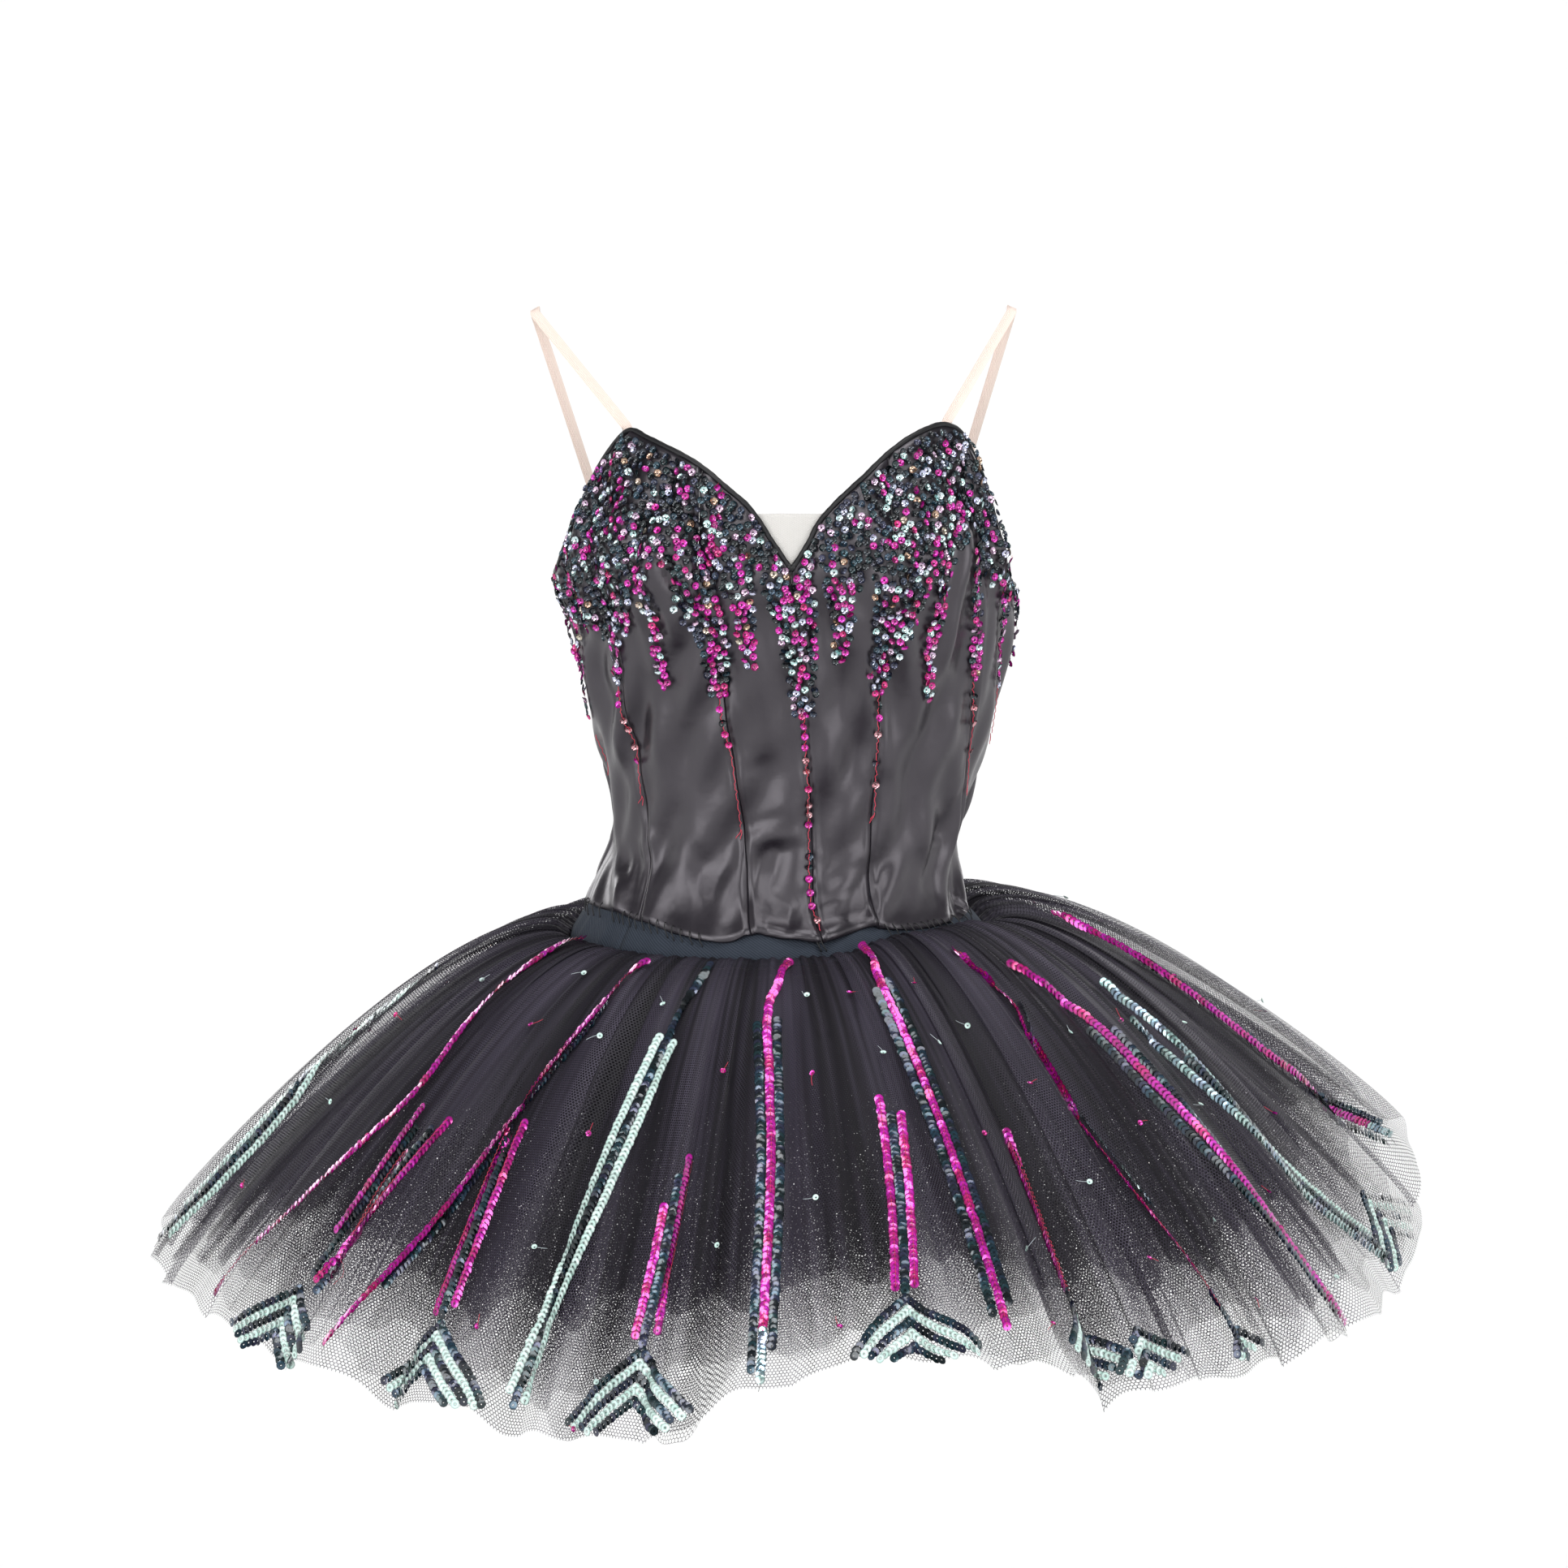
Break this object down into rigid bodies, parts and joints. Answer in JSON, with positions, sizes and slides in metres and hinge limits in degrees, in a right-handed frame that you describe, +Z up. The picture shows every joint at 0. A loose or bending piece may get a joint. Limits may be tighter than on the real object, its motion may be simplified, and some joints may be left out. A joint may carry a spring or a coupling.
{
  "type": "ballet tutu",
  "caption": "Hollow, filled-out ballet tutu: black satin bodice with sequinned cups, thin straps, a hip basque and a short bell of gathered black net.",
  "frame": {"origin": "centre of the waist, inside the bodice, where the wearer holds the garment up", "axes": "+Z up, +X towards the wearer's left, and the wearer faces -Y"},
  "size_m": [0.7937, 0.7622, 0.6258],
  "materials": {
    "satin_black": "satin",
    "binding_black": "satin",
    "basque_navy": "matte twill",
    "net_black": "open hexagonal net",
    "strap_ribbon": "ribbed ribbon",
    "insert_mesh": "fine mesh"
  },
  "bodies": {
    "root": {"bodice_centre_front_right": "satin_black", "bodice_side_front_right": "satin_black", "bodice_side_right": "satin_black", "bodice_back_right": "satin_black", "bodice_centre_front_left": "satin_black", "bodice_side_front_left": "satin_black", "bodice_side_left": "satin_black", "bodice_back_left": "satin_black", "back_placket": "satin_black", "neckline_binding_right": "binding_black", "neckline_binding_left": "binding_black", "neck_insert": "insert_mesh", "strap_right": "strap_ribbon", "strap_left": "strap_ribbon", "basque_back_right": "basque_navy", "basque_front_right": "basque_navy", "basque_front_left": "basque_navy", "basque_back_left": "basque_navy", "net_overlay": "net_black", "net_second": "net_black", "net_third": "net_black", "net_fourth": "net_black"}
  },
  "joints": []
}
